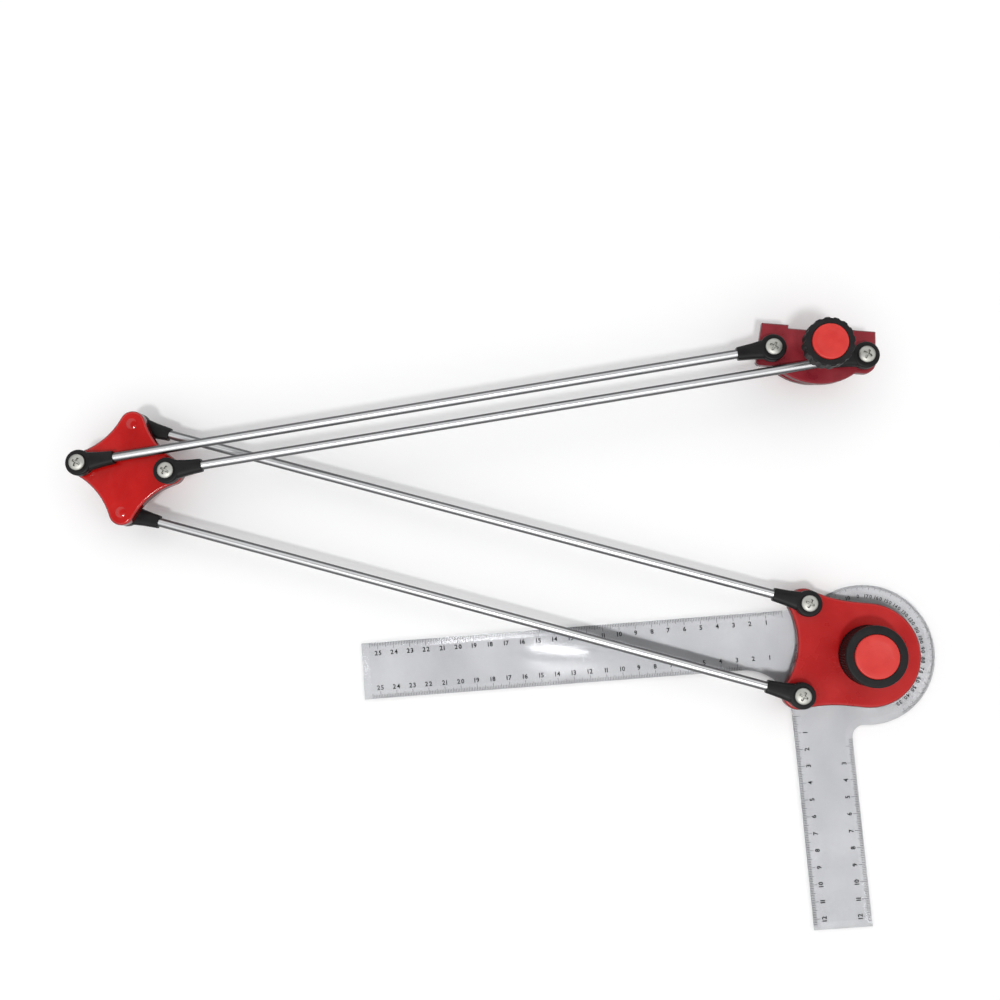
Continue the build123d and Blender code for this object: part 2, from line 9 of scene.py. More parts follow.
import bpy
import json
import math
import numpy as np
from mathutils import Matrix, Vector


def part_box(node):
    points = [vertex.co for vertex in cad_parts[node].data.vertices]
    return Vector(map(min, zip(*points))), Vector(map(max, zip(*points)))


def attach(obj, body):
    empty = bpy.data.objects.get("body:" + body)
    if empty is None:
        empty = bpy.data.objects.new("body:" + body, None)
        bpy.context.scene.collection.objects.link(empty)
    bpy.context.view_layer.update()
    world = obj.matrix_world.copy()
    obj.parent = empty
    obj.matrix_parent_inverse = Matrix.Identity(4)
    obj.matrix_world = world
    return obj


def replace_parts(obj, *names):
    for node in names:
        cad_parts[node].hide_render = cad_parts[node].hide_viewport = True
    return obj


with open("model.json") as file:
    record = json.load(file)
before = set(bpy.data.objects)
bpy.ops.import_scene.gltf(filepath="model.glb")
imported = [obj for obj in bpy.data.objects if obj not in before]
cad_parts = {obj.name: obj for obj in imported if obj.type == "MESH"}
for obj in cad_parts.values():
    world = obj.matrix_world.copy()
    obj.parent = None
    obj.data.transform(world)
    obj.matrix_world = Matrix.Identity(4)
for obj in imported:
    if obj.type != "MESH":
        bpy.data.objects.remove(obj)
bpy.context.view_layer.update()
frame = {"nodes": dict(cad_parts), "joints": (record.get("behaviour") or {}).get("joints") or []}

# %% [markdown]
# ## Where the pivots are
#
# The linkage has eight pivots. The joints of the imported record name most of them, and the parallelograms
# give the rest: a link's far pivots are as far apart as its near ones. Heights come from the boxes of the
# washers, which lie on the plates. The value MM turns millimetres into metres, so that the sizes below
# read as a maker would say them.

# %% Pivots and levels
MM = 0.001
hinge = {joint["name"]: np.array(joint["pos_m"]) for joint in frame["joints"] if "pos_m" in joint}
clamp_a, clamp_b = hinge["upper_swing"][:2], hinge["upper_swing_b"][:2]
elbow_a = hinge["elbow_level"][:2]
elbow_b = elbow_a + clamp_b - clamp_a
elbow_c, elbow_d = hinge["lower_swing"][:2], hinge["lower_swing_d"][:2]
head_c = hinge["head_level"][:2]
head_d = head_c + elbow_d - elbow_c
spindle = hinge["scale_turn"][:2]
clamp_centre = (clamp_a + clamp_b) / 2
elbow_centre = (elbow_c + elbow_d) / 2
head_centre = (head_c + head_d) / 2
upper_way = (clamp_a - elbow_a) / np.linalg.norm(clamp_a - elbow_a)
lower_way = (head_c - elbow_c) / np.linalg.norm(head_c - elbow_c)


def low_of(node):
    """Height of a node's underside."""
    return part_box(node)[0].z


def high_of(node):
    """Height of a node's top."""
    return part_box(node)[1].z


print("link length in mm:", round(float(np.linalg.norm(clamp_a - elbow_a)) / MM, 2))

# %% [markdown]
# ## Surfaces from arrays
#
# Every new piece is a grid of points: the columns run once round the piece, and the rows follow a
# profile. The helper below joins neighbouring rows and columns into quads and closes both ends. The rows
# run so that the faces point outwards. Because all of it is worked out as arrays, a denser surface costs
# only a larger number.

# %% Grid to shell


def shell_from_grid(grid, ring=False):
    """Quads (i,j) (i,j+1) (i+1,j+1) (i+1,j) of a grid whose columns close; a ring's rows close too."""
    rows, columns = grid.shape[:2]
    index = np.arange(rows * columns).reshape(rows, columns)
    low = index if ring else index[:-1]
    high = np.roll(index, -1, axis=0)[: len(low)]
    quads = np.stack([low, np.roll(low, -1, 1), np.roll(high, -1, 1), high], axis=-1)
    corners = [quads.ravel()]
    sizes = [np.full(low.size, 4)]
    if not ring:
        corners += [index[0, ::-1], index[-1]]
        sizes += [[columns], [columns]]
    return grid.reshape(-1, 3), np.concatenate(corners), np.concatenate(sizes)


# %% Shells to one piece


def make_piece(name, shells, material, body, crease=33.0):
    """One mesh from several closed shells, smooth except across edges sharper than the crease angle."""
    counts = [len(points) for points, corners, sizes in shells]
    offsets = np.cumsum([0] + counts[:-1])
    points = np.concatenate([points for points, corners, sizes in shells])
    corners = np.concatenate([shell[1] + offset for shell, offset in zip(shells, offsets)])
    sizes = np.concatenate([sizes for points, corners, sizes in shells])
    mesh = bpy.data.meshes.new(name)
    mesh.vertices.add(len(points))
    mesh.vertices.foreach_set("co", points.astype(np.float32).ravel())
    mesh.loops.add(len(corners))
    mesh.loops.foreach_set("vertex_index", corners.astype(np.int32))
    mesh.polygons.add(len(sizes))
    mesh.polygons.foreach_set("loop_start", (np.cumsum(sizes) - sizes).astype(np.int32))
    mesh.update(calc_edges=True)
    mesh.validate()
    mesh.shade_smooth()
    mesh.set_sharp_from_angle(angle=math.radians(crease))
    mesh.materials.append(material)
    piece = bpy.data.objects.new(name, mesh)
    bpy.context.scene.collection.objects.link(piece)
    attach(piece, body)
    print(name, len(mesh.polygons), "faces")
    return piece


# %% Rounded profiles


def softened(corners, radius, closed=False, steps=6):
    """Each corner Q becomes (1-s)^2 P + 2s(1-s) Q + s^2 R, with P and R a radius away along its sides."""
    q = np.asarray(corners, float)
    before = np.roll(q, 1, axis=0) - q
    after = np.roll(q, -1, axis=0) - q
    before_length = np.linalg.norm(before, axis=1, keepdims=True)
    after_length = np.linalg.norm(after, axis=1, keepdims=True)
    radii = np.broadcast_to(np.asarray(radius, float), len(q))[:, None]
    p = q + before / before_length * np.minimum(radii, 0.48 * before_length)
    r = q + after / after_length * np.minimum(radii, 0.48 * after_length)
    s = np.linspace(0.0, 1.0, steps)[None, :, None]
    curves = (1 - s) ** 2 * p[:, None] + 2 * s * (1 - s) * q[:, None] + s**2 * r[:, None]
    if closed:
        return curves.reshape(-1, 2)
    return np.concatenate([q[:1], curves[1:-1].reshape(-1, 2), q[-1:]])


# %% Turned surfaces


def turned(profile, centre, columns=96, relief=None, ring=False):
    """Surface of revolution: (r, z) goes to (cx + r cos t, cy + r sin t, z); relief lowers r and z in mm."""
    profile = np.asarray(profile, float)
    angle = np.linspace(0.0, 2 * math.pi, columns, endpoint=False)[None, :]
    radius = np.repeat(profile[:, :1], columns, axis=1)
    height = np.repeat(profile[:, 1:], columns, axis=1)
    if relief:
        radius, height = relief(radius, height, angle)
    x = centre[0] + radius * np.cos(angle) * MM
    y = centre[1] + radius * np.sin(angle) * MM
    return shell_from_grid(np.stack([x, y, height * MM], axis=-1), ring)


# %% [markdown]
# ## Shared effects
#
# No real surface is one flat colour. Moulded plastic has faint flow marks, black plastic has a fine
# spark-eroded grain, and drawn rod keeps streaks along its length. Each effect is a shader node group
# with named inputs, so every material places it with its own values. The groups only put out masks and
# heights; the shader stays in the material.

# %% Group helpers


def new_group(name, inputs, outputs):
    """Empty shader group with float inputs, given as name and default, and float outputs."""
    group = bpy.data.node_groups.new(name, "ShaderNodeTree")
    for label, default in inputs:
        socket = group.interface.new_socket(label, in_out="INPUT", socket_type="NodeSocketFloat")
        socket.default_value = default
    for label in outputs:
        group.interface.new_socket(label, in_out="OUTPUT", socket_type="NodeSocketFloat")
    return group, group.nodes.new("NodeGroupInput"), group.nodes.new("NodeGroupOutput")


# %% Flow marks: broad, soft unevenness of a moulded or painted skin
flow_marks, given, result = new_group("flow_marks", [("Scale", 60.0), ("Contrast", 1.0)], ["Mask"])
place = flow_marks.nodes.new("ShaderNodeTexCoord")
cloud = flow_marks.nodes.new("ShaderNodeTexNoise")
cloud.inputs["Detail"].default_value = 4.0
spread = flow_marks.nodes.new("ShaderNodeMath")
spread.operation = "MULTIPLY_ADD"
spread.inputs[2].default_value = 0.5
centred = flow_marks.nodes.new("ShaderNodeMath")
centred.operation = "SUBTRACT"
centred.inputs[1].default_value = 0.5
kept = flow_marks.nodes.new("ShaderNodeClamp")
flow_marks.links.new(place.outputs["Object"], cloud.inputs["Vector"])
flow_marks.links.new(given.outputs["Scale"], cloud.inputs["Scale"])
flow_marks.links.new(cloud.outputs["Fac"], centred.inputs[0])
flow_marks.links.new(centred.outputs[0], spread.inputs[0])
flow_marks.links.new(given.outputs["Contrast"], spread.inputs[1])
flow_marks.links.new(spread.outputs[0], kept.inputs["Value"])
flow_marks.links.new(kept.outputs[0], result.inputs["Mask"])

# %% Fine grain: the small bumps of a textured or cast skin
fine_grain, given, result = new_group("fine_grain", [("Scale", 2500.0), ("Speckle", 0.5)], ["Height"])
place = fine_grain.nodes.new("ShaderNodeTexCoord")
bumps = fine_grain.nodes.new("ShaderNodeTexNoise")
bumps.inputs["Detail"].default_value = 2.0
fine_grain.links.new(place.outputs["Object"], bumps.inputs["Vector"])
fine_grain.links.new(given.outputs["Scale"], bumps.inputs["Scale"])
fine_grain.links.new(given.outputs["Speckle"], bumps.inputs["Roughness"])
fine_grain.links.new(bumps.outputs["Fac"], result.inputs["Height"])

# %% Drawn streaks: fine lines along a rod that lies at an angle in plan
drawn_streaks, given, result = new_group("drawn_streaks", [("Angle", 0.0), ("Scale", 900.0)], ["Mask"])
place = drawn_streaks.nodes.new("ShaderNodeTexCoord")
aligned = drawn_streaks.nodes.new("ShaderNodeVectorRotate")
aligned.rotation_type = "Z_AXIS"
squeezed = drawn_streaks.nodes.new("ShaderNodeMapping")
squeezed.inputs["Scale"].default_value = (0.02, 1.0, 1.0)
lines = drawn_streaks.nodes.new("ShaderNodeTexNoise")
lines.inputs["Detail"].default_value = 3.0
drawn_streaks.links.new(place.outputs["Object"], aligned.inputs["Vector"])
drawn_streaks.links.new(given.outputs["Angle"], aligned.inputs["Angle"])
drawn_streaks.links.new(aligned.outputs["Vector"], squeezed.inputs["Vector"])
drawn_streaks.links.new(squeezed.outputs["Vector"], lines.inputs["Vector"])
drawn_streaks.links.new(given.outputs["Scale"], lines.inputs["Scale"])
drawn_streaks.links.new(lines.outputs["Fac"], result.inputs["Mask"])
print("groups:", [group.name for group in bpy.data.node_groups])

# %% [markdown]
# ## Finishes
#
# All finishes use the Principled shader. A helper places the flow marks to mix two close shades and to
# vary the roughness, and the grain to feed a bump. Painted shade darkens the colour where the surface
# turns away from the camera, which draws the rounded edges. Numbers that are the same all over a surface,
# such as metallic or coat, are set on the shader's own sockets. A colour Mix node keeps its two colours in
# inputs 6 and 7.

# %% Painted edge shade


def edge_shade(material, colour, painted_shade_colour, start, stop, amount=1.0):
    """Paints shade: mixes a dark colour in as the surface turns away from the camera, from one facing value
    to another.
    """
    nodes, links = material.node_tree.nodes, material.node_tree.links
    tilt = nodes.new("ShaderNodeLayerWeight")
    rim = nodes.new("ShaderNodeMapRange")
    rim.inputs["From Min"].default_value, rim.inputs["From Max"].default_value = start, stop
    rim.inputs["To Max"].default_value = amount
    painted_shade_mix = nodes.new("ShaderNodeMix")
    painted_shade_mix.data_type = "RGBA"
    painted_shade_mix.inputs[7].default_value = (*painted_shade_colour, 1.0)
    links.new(tilt.outputs["Facing"], rim.inputs["Value"])
    links.new(rim.outputs["Result"], painted_shade_mix.inputs[0])
    links.new(colour, painted_shade_mix.inputs[6])
    links.new(painted_shade_mix.outputs[2], nodes["Principled BSDF"].inputs["Base Color"])


# %% Material helper


def finish(name, shades, roughness, flow=(60.0, 1.0), grain=None, edge=0.0, **sockets):
    """Two shades and a roughness range mixed by flow marks, with painted shade of strength edge where the
    surface turns away.
    """
    material = bpy.data.materials.new(name)
    material.use_nodes = True
    nodes, links = material.node_tree.nodes, material.node_tree.links
    shader = nodes["Principled BSDF"]
    for socket, value in sockets.items():
        shader.inputs[socket.replace("_", " ")].default_value = value
    marks = nodes.new("ShaderNodeGroup")
    marks.node_tree = flow_marks
    marks.inputs["Scale"].default_value, marks.inputs["Contrast"].default_value = flow
    shade = nodes.new("ShaderNodeMix")
    shade.data_type = "RGBA"
    shade.inputs[6].default_value = (*shades[0], 1.0)
    shade.inputs[7].default_value = (*shades[1], 1.0)
    links.new(marks.outputs["Mask"], shade.inputs[0])
    # painted shade: a darker colour where the surface turns away from the camera
    painted_shade_colour = [0.18 * level for level in shades[0]]
    edge_shade(material, shade.outputs[2], painted_shade_colour, 0.12, 0.62, edge)
    gloss = nodes.new("ShaderNodeMapRange")
    gloss.inputs["To Min"].default_value, gloss.inputs["To Max"].default_value = roughness
    links.new(marks.outputs["Mask"], gloss.inputs["Value"])
    links.new(gloss.outputs["Result"], shader.inputs["Roughness"])
    if grain:
        skin = nodes.new("ShaderNodeGroup")
        skin.node_tree = fine_grain
        skin.inputs["Scale"].default_value = grain[0]
        bump = nodes.new("ShaderNodeBump")
        bump.inputs["Strength"].default_value = grain[1]
        bump.inputs["Distance"].default_value = grain[2] * MM
        links.new(skin.outputs["Height"], bump.inputs["Height"])
        links.new(bump.outputs["Normal"], shader.inputs["Normal"])
    return material


# %% Reds, blacks and small metals
# The number after the grain sets how strongly painted shade darkens each finish where its surface turns away.
elbow_red = finish(
    "gloss_red_moulding", [(0.42, 0.002, 0.002), (0.60, 0.006, 0.004)], (0.10, 0.22), (45.0, 2.2),
    (160.0, 0.25, 0.5), 0.9, Coat_Weight=0.3, Coat_Roughness=0.05,
)
head_red = finish(
    "deep_red_moulding", [(0.42, 0.003, 0.004), (0.58, 0.007, 0.006)], (0.22, 0.38), (38.0, 2.0),
    (140.0, 0.2, 0.5), 0.9,
)
clamp_red = finish(
    "crimson_enamel", [(0.22, 0.012, 0.022), (0.36, 0.020, 0.032)], (0.25, 0.42), (90.0, 2.4),
    (420.0, 0.25, 0.25), 0.8,
)
cap_red = finish(
    "bright_red_cap", [(0.60, 0.022, 0.018), (0.72, 0.040, 0.030)], (0.35, 0.5), (120.0, 1.8),
    (1400.0, 0.2, 0.08),
)
knob_black = finish(
    "black_knob_moulding", [(0.006, 0.005, 0.006), (0.014, 0.012, 0.013)], (0.42, 0.58), (150.0, 2.0),
    (2600.0, 0.35, 0.06), 0.6, Specular_IOR_Level=0.25,
)
fitting_black = finish(
    "black_eye_moulding", [(0.004, 0.004, 0.004), (0.010, 0.009, 0.010)], (0.36, 0.52), (180.0, 2.0),
    (2200.0, 0.3, 0.06), 0.6, Specular_IOR_Level=0.25,
)
hub_black = finish("black_hub_moulding", [(0.02, 0.02, 0.02), (0.035, 0.035, 0.036)], (0.4, 0.55))
pad_black = finish(
    "black_rubber_pad", [(0.012, 0.012, 0.012), (0.028, 0.027, 0.026)], (0.7, 0.9), (200.0, 2.0),
    (1800.0, 0.6, 0.15),
)
fibre_brown = finish(
    "pressed_fibre", [(0.26, 0.19, 0.13), (0.42, 0.33, 0.24)], (0.75, 0.95), (900.0, 3.0),
    (3200.0, 0.6, 0.1),
)
screw_steel = finish(
    "plated_screw_steel", [(0.50, 0.50, 0.46), (0.60, 0.60, 0.56)], (0.42, 0.55), (300.0, 1.2),
    (2400.0, 0.15, 0.04), 0.8, Metallic=1.0,
)
washer_steel = finish(
    "plain_washer_steel", [(0.45, 0.45, 0.45), (0.62, 0.62, 0.61)], (0.28, 0.45), (500.0, 3.0),
    Metallic=1.0,
)
turned_brass = finish(
    "turned_brass", [(0.62, 0.44, 0.18), (0.78, 0.58, 0.28)], (0.22, 0.38), (600.0, 2.5), Metallic=1.0,
)
print("finishes:", len(bpy.data.materials))

# %% Chromed rod, once for each direction


def chromed_rod(name, way):
    """Chrome whose fine streaks follow the rods of one pair, with painted shade along the rod's turned-away
    sides.
    """
    material = bpy.data.materials.new(name)
    material.use_nodes = True
    nodes, links = material.node_tree.nodes, material.node_tree.links
    shader = nodes["Principled BSDF"]
    shader.inputs["Metallic"].default_value = 1.0
    streaks = nodes.new("ShaderNodeGroup")
    streaks.node_tree = drawn_streaks
    streaks.inputs["Angle"].default_value = -math.atan2(way[1], way[0])
    shade = nodes.new("ShaderNodeMix")
    shade.data_type = "RGBA"
    shade.inputs[6].default_value = (0.66, 0.67, 0.68, 1.0)
    shade.inputs[7].default_value = (0.86, 0.86, 0.87, 1.0)
    gloss = nodes.new("ShaderNodeMapRange")
    gloss.inputs["To Min"].default_value = 0.26
    gloss.inputs["To Max"].default_value = 0.42
    links.new(streaks.outputs["Mask"], shade.inputs[0])
    # painted shade: the rod's sides darken where they turn away from the camera
    edge_shade(material, shade.outputs[2], (0.16, 0.16, 0.165), 0.07, 0.26)
    links.new(streaks.outputs["Mask"], gloss.inputs["Value"])
    links.new(gloss.outputs["Result"], shader.inputs["Roughness"])
    return material


upper_chrome = chromed_rod("chrome_upper_rods", upper_way)
lower_chrome = chromed_rod("chrome_lower_rods", lower_way)

# %% [markdown]
# Clear acrylic bends light, so a lamp's rays would hardly find their way through it and the scale would
# throw a dark shadow. Shadow rays therefore meet a plain see-through surface of a faint grey instead.

# %% Clear acrylic and its ink
clear_acrylic = finish(
    "clear_cast_acrylic", [(0.60, 0.605, 0.62), (0.72, 0.725, 0.735)], (0.02, 0.08), (30.0, 2.0),
    IOR=1.49, Transmission_Weight=1.0,
)
nodes, links = clear_acrylic.node_tree.nodes, clear_acrylic.node_tree.links
rays = nodes.new("ShaderNodeLightPath")
through = nodes.new("ShaderNodeBsdfTransparent")
through.inputs["Color"].default_value = (0.95, 0.95, 0.955, 1.0)
either = nodes.new("ShaderNodeMixShader")
links.new(rays.outputs["Is Shadow Ray"], either.inputs["Fac"])
links.new(nodes["Principled BSDF"].outputs["BSDF"], either.inputs[1])
links.new(through.outputs["BSDF"], either.inputs[2])
links.new(either.outputs["Shader"], nodes["Material Output"].inputs["Surface"])
scale_ink = finish("black_scale_ink", [(0.015, 0.015, 0.018), (0.05, 0.05, 0.055)], (0.5, 0.7), (400.0, 3.0))

# %% Finishes of the carried-over solids
carried = {
    "clamp_bracket": clamp_red,
    "clamp_pivot_washers": washer_steel,
    "pressure_pad": pad_black,
    "elbow_inserts": turned_brass,
    "elbow_top_washers": washer_steel,
    "elbow_under_washers": washer_steel,
    "head_inserts": turned_brass,
    "head_pivot_washers": washer_steel,
    "spindle_bolt": screw_steel,
    "knob_washer": washer_steel,
    "head_knob_nut": turned_brass,
    "blade": clear_acrylic,
    "blade_hub": hub_black,
    "friction_washer": fibre_brown,
    "upper_rod_a": upper_chrome,
    "upper_rod_b": upper_chrome,
    "lower_rod_c": lower_chrome,
    "lower_rod_d": lower_chrome,
}
for node, material in carried.items():
    mesh = frame["nodes"][node].data
    mesh.materials.clear()
    mesh.materials.append(material)
print("carried-over solids:", len(carried))

# %% [markdown]
# ## Eye fittings
#
# Each rod ends in a black moulded fitting: an eye that turns on a screw and a neck that narrows to the
# rod's socket. The eye is a turned ring. The neck is a soft four-sided section that shrinks along the
# rod, which a superellipse describes well: an exponent of 2 gives an oval, and higher ones square it off.

# %% Sizes of the fittings
fitting_height = (high_of("fitting_a_elbow") - low_of("fitting_a_elbow")) / MM
eye_radius = 8.0
eye_bore = 2.6
neck_reach = np.array([3.0, 8.0, 12.0, 16.5, 20.8, 21.3, 21.5])
neck_width = np.array([12.6, 10.9, 9.7, 8.8, 8.1, 7.9, 7.6])
neck_height = np.array([6.7, 6.7, 6.6, 6.5, 6.5, 6.4, 6.2])


def neck(pivot, level, way, columns=56, exponent=3.4):
    """Superellipse |y/a|^p + |z/b|^p = 1 carried along the rod's direction, narrowing to the socket."""
    angle = np.linspace(0.0, 2 * math.pi, columns, endpoint=False)
    across = np.sign(np.cos(angle)) * np.abs(np.cos(angle)) ** (2 / exponent)
    upward = np.sign(np.sin(angle)) * np.abs(np.sin(angle)) ** (2 / exponent)
    stations = np.arange(len(neck_reach))
    rows = np.linspace(0, len(neck_reach) - 1, 37)
    reach = np.interp(rows, stations, neck_reach)
    width = np.interp(rows, stations, neck_width)
    height = np.interp(rows, stations, neck_height)
    side = np.array([-way[1], way[0]])
    plan = (
        pivot[None, None, :]
        + reach[:, None, None] * MM * way
        + (width[:, None] * across[None, :] / 2)[..., None] * MM * side
    )
    z = level + height[:, None] * upward[None, :] / 2 * MM
    return shell_from_grid(np.concatenate([plan, z[..., None]], axis=-1))


def eye(pivot, level):
    """Turned ring with rounded rims."""
    half = fitting_height / 2
    middle = level / MM
    rims = [
        (eye_radius, middle - half),
        (eye_radius, middle + half),
        (eye_bore, middle + half),
        (eye_bore, middle - half),
    ]
    return turned(softened(rims, (1.3, 1.3, 0.3, 0.3), closed=True), pivot, 72, ring=True)


# %% Build the eight fittings
fittings = [
    ("fitting_a_elbow", elbow_a, upper_way, "upper_arm_a"),
    ("fitting_a_clamp", clamp_a, -upper_way, "upper_arm_a"),
    ("fitting_b_elbow", elbow_b, upper_way, "upper_arm_b"),
    ("fitting_b_clamp", clamp_b, -upper_way, "upper_arm_b"),
    ("fitting_c_elbow", elbow_c, lower_way, "lower_arm_c"),
    ("fitting_c_head", head_c, -lower_way, "lower_arm_c"),
    ("fitting_d_elbow", elbow_d, lower_way, "lower_arm_d"),
    ("fitting_d_head", head_d, -lower_way, "lower_arm_d"),
]
for node, pivot, way, body in fittings:
    level = (low_of(node) + high_of(node)) / 2
    shells = [eye(pivot, level), neck(pivot, level, way)]
    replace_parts(make_piece(node + "_moulding", shells, fitting_black, body), node)

# %% [markdown]
# ## Pivot screws
#
# A low domed screw with a cross recess holds each eye. The head is a turned profile, and the recess is a
# relief on that same grid: where a point lies within half a slot's width of either axis, its height drops
# smoothly. The shoulder and thread are hidden in the eye and the plate, but they are there.

# %% Cross recess and screw profile
recess_half_width = 0.55
recess_reach = 2.5
recess_depth = 1.1


def smooth_step(low, high, value):
    """0 below low, 1 above high, and 3t^2 - 2t^3 in between."""
    t = np.clip((value - low) / (high - low), 0.0, 1.0)
    return t * t * (3 - 2 * t)


def cross_recess(seat, over):
    """Relief that sinks a cross into a head whose rim stands `over` above its seat, up or down."""

    def relief(radius, height, angle):
        x, y = radius * np.cos(angle + 0.4), radius * np.sin(angle + 0.4)
        near = np.minimum(np.abs(x), np.abs(y))
        slot = 1 - smooth_step(recess_half_width - 0.12, recess_half_width + 0.12, near)
        reach = 1 - smooth_step(recess_reach - 0.4, recess_reach + 0.4, radius)
        top = (height - seat) * np.sign(over) > abs(over) - 0.01
        return radius, height - np.sign(over) * recess_depth * slot * reach * top

    return relief


def pivot_screw(centre, seat, up=1.0):
    """Turned screw on a plate's face: z = seat + up h, with h the height over the face."""
    shoulder = fitting_height + 0.75
    crown_radius = np.concatenate([np.linspace(4.9, 2.8, 14), np.linspace(2.7, 0.05, 40)])
    crown_height = shoulder + 1.0 + 1.4 * np.sqrt(1 - (crown_radius / 5.0) ** 2.4)
    shaft = np.array([(1.4, -5.0), (1.45, -4.9), (1.45, 0.0), (2.5, 0.02), (2.5, shoulder - 0.02)])
    rim = np.array([(2.6, shoulder), (4.8, shoulder), (5.0, shoulder + 0.2), (5.0, shoulder + 1.0)])
    crown = np.stack([crown_radius, crown_height], axis=1)
    profile = np.concatenate([shaft, rim, crown])
    profile[:, 1] = seat + up * profile[:, 1]
    if up < 0:
        profile = profile[::-1]
    relief = cross_recess(seat, up * (shoulder + 1.05))
    return turned(profile, centre, 128, relief)


# %% Screws at the clamp, the elbow and the head
screw_places = [
    ("clamp_pivot_screws", (clamp_a, clamp_b), low_of("clamp_pivot_washers"), 1.0, "clamp"),
    ("elbow_top_screws", (elbow_a, elbow_b), low_of("elbow_top_washers"), 1.0, "elbow"),
    ("elbow_under_screws", (elbow_c, elbow_d), high_of("elbow_under_washers"), -1.0, "elbow"),
    ("head_pivot_screws", (head_c, head_d), low_of("head_pivot_washers"), 1.0, "head"),
]
for node, places, seat, up, body in screw_places:
    shells = [pivot_screw(place, seat / MM, up) for place in places]
    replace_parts(make_piece(node + "_turned", shells, screw_steel, body, 28.0), node)

# %% [markdown]
# ## Moulded plates
#
# The elbow and the head plate are hollow mouldings: a skin on top, a thin wall round the outline, and
# bosses and ribs underneath. Both outlines are chains of arcs. The plate's grid follows the outline in
# its columns; its rows start at the roof of the hollow, go down the wall, out under the rim, up the side
# and round the soft top edge.

# %% Outlines from arcs


def arc(centre, radius, start, stop, count):
    """Points on a circle from one angle to another, in degrees, without the last one."""
    angle = np.radians(np.linspace(start, stop, count, endpoint=False))
    return np.stack([centre[0] + radius * np.cos(angle), centre[1] + radius * np.sin(angle)], axis=1)


def elbow_outline(half_spacing=27.5, lobe=8.0, waist=4.3):
    """Four lobes joined by hollow arcs that touch both neighbours; one quarter is turned four times."""
    half_side = half_spacing * math.sqrt(0.5)
    radius = (half_side**2 + waist**2 - lobe**2) / (2 * (lobe - waist))
    distance = half_side + radius + waist
    hollow = distance * math.sqrt(0.5)
    touch = math.degrees(math.atan2(hollow, hollow - half_spacing))
    quarter = np.concatenate(
        [
            arc((half_spacing, 0.0), lobe, -touch, touch, 24),
            arc((hollow, hollow), radius, touch + 180, 270 - touch, 20),
        ]
    )
    turns = np.radians([0, 90, 180, 270])
    matrix = np.stack([np.cos(turns), -np.sin(turns), np.sin(turns), np.cos(turns)], 1).reshape(4, 2, 2)
    return np.einsum("kij,nj->kni", matrix, quarter).reshape(-1, 2)


def head_outline(front=31.3, lobe=9.5, lobe_x=-40.0, lobe_y=27.0, back=-42.0, leave=70.0, meet=200.0):
    """Round front, level flanks, hollow shoulders, two lobes and a hollow back edge, drawn anticlockwise."""
    leave_y = lobe_y + lobe * math.sin(math.radians(leave))
    leave_x = lobe_x + lobe * math.cos(math.radians(leave))
    shoulder = (leave_y - front) / (1 - math.sin(math.radians(leave)))
    shoulder_x = leave_x + shoulder * math.cos(math.radians(leave))
    meet_x = lobe_x + lobe * math.cos(math.radians(meet))
    meet_y = lobe_y + lobe * math.sin(math.radians(meet))
    sagitta = back - meet_x
    back_radius = (meet_y**2 + sagitta**2) / (2 * sagitta)
    back_half = math.degrees(math.asin(meet_y / back_radius))
    flank = np.stack([np.linspace(0, shoulder_x, 8, endpoint=False), np.full(8, front)], axis=1)
    upper = np.concatenate(
        [
            arc((0.0, 0.0), front, 0, 90, 40),
            flank,
            arc((shoulder_x, front + shoulder), shoulder, 270, 180 + leave, 16),
            arc((lobe_x, lobe_y), lobe, leave, meet, 32),
            arc((back - back_radius, 0.0), back_radius, back_half, 0, 16),
        ]
    )
    mirrored = upper[1:][::-1] * (1, -1)
    return np.concatenate([upper, [(back, 0.0)], mirrored])


# %% Hollow plate from an outline


def moulded_plate(outline, centre, low, high, edge, wall, skin):
    """P(u) - d n(u) at height z, for each (d, z) of the section: hollow, wall, rim, side, soft top edge."""
    along = np.roll(outline, -1, axis=0) - np.roll(outline, 1, axis=0)
    outward = np.stack([along[:, 1], -along[:, 0]], axis=1)
    outward /= np.linalg.norm(outward, axis=1, keepdims=True)
    turn = np.linspace(0.0, math.pi / 2, 10)
    section = np.concatenate(
        [
            [(wall + 0.4, high - skin), (wall, high - skin - 0.4), (wall, low), (0.15, low), (0, low + 0.15)],
            np.stack([edge * (1 - np.cos(turn)), high - edge * (1 - np.sin(turn))], axis=1),
            [(edge + 0.6, high)],
        ]
    )
    plan = outline[None] - section[:, :1, None] * outward[None]
    grid = np.empty((len(section), len(outline), 3))
    grid[..., :2] = np.asarray(centre) + plan * MM
    grid[..., 2] = section[:, 1:] * MM
    return shell_from_grid(grid)


def rib(centre, length, width, low, high):
    """Upright slab between two bosses."""
    corners = np.array([(-length, -width), (length, -width), (length, width), (-length, width)]) / 2
    plan = np.asarray(centre) + corners * MM
    heights = np.array([low, high]) * MM
    grid = np.concatenate(
        [np.repeat(plan[None], 2, axis=0), np.repeat(heights[:, None, None], 4, axis=1)], axis=-1
    )
    return shell_from_grid(grid)


